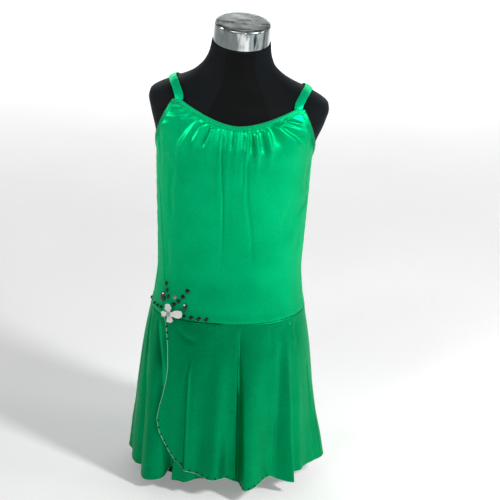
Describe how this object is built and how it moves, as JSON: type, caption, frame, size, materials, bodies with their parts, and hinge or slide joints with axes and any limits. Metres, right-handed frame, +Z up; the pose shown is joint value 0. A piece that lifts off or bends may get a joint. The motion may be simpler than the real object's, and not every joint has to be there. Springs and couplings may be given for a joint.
{
  "type": "skirted leotard on a limbless dress form",
  "caption": "Green camisole leotard with a low waist seam, wrap-over flared skirt, small white flower and dark stones, on a black dress form with a metal neck cap.",
  "frame": {"origin": "bottom centre of the part's box, on the surface that the form stands on", "axes": "+Z up, -Y towards the front of the garment, +X towards a viewer's right"},
  "size_m": [0.3559, 0.3154, 0.8274],
  "materials": {
    "green_spandex": "shiny stretch knit",
    "green_elastic": "turned elastic edge with zigzag stitches",
    "pale_thread": "sewing thread",
    "black_jersey": "matt jersey with a faint blue sheen",
    "neck_cap_metal": "polished, with fine scratches on top",
    "white_petal": "satin",
    "grey_bead": "pearl",
    "dark_stone": "faceted, gloss",
    "clear_stone": "faceted, gloss"
  },
  "bodies": {
    "root": {"bodice_front": "green_spandex", "bodice_back": "green_spandex", "strap_left": "green_spandex", "strap_right": "green_spandex", "skirt_front": "green_spandex", "skirt_under": "green_spandex", "skirt_back": "green_spandex", "brief_front": "green_spandex", "brief_back": "green_spandex", "form_torso": "black_jersey", "form_neck_cap": "neck_cap_metal", "flower_centre": "grey_bead", "flower_petal_top": "white_petal", "flower_petal_right": "white_petal", "flower_petal_left": "white_petal", "flower_petal_bottom": "white_petal", "stone_heart": "clear_stone", "stone_oval": "dark_stone", "stone_drop": "dark_stone", "stone_seam_1": "dark_stone", "stone_seam_2": "dark_stone", "stone_seam_3": "dark_stone", "stone_seam_4": "dark_stone", "stone_slant_1": "dark_stone", "stone_slant_2": "dark_stone", "stone_slant_3": "dark_stone", "stone_slant_4": "dark_stone", "stone_side_1": "dark_stone", "stone_side_2": "dark_stone", "stone_side_3": "dark_stone", "stone_side_4": "dark_stone", "stone_marquise_1": "dark_stone", "stone_marquise_2": "dark_stone", "stone_marquise_3": "dark_stone"}
  },
  "joints": []
}
